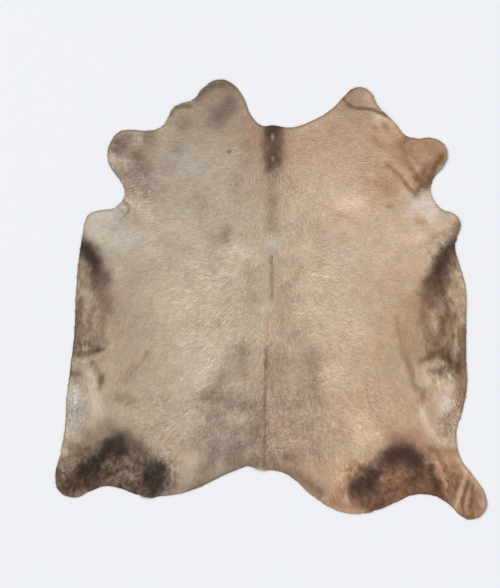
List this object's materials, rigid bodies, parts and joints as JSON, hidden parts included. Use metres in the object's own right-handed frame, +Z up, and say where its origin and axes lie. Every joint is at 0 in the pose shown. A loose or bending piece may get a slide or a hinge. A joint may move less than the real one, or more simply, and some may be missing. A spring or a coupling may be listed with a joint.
{
  "type": "cowhide rug",
  "caption": "Hair-on cowhide laid flat with its hair side up, cut along the natural outline of neck, cheeks, legs and flanks, with low ridges near its edges",
  "frame": {"origin": "on the floor, under the middle of the box around the hide", "axes": "+Z up from the floor to the hair side, +Y along the spine towards the neck, +X to the right as seen from above with the neck away"},
  "size_m": [2.156, 2.199, 0.012],
  "materials": {
    "hair_on_hide": "short cattle hair in sandy taupe, soft sheen, on tanned leather"
  },
  "bodies": {
    "root": {"hide": "hair_on_hide"}
  },
  "joints": []
}
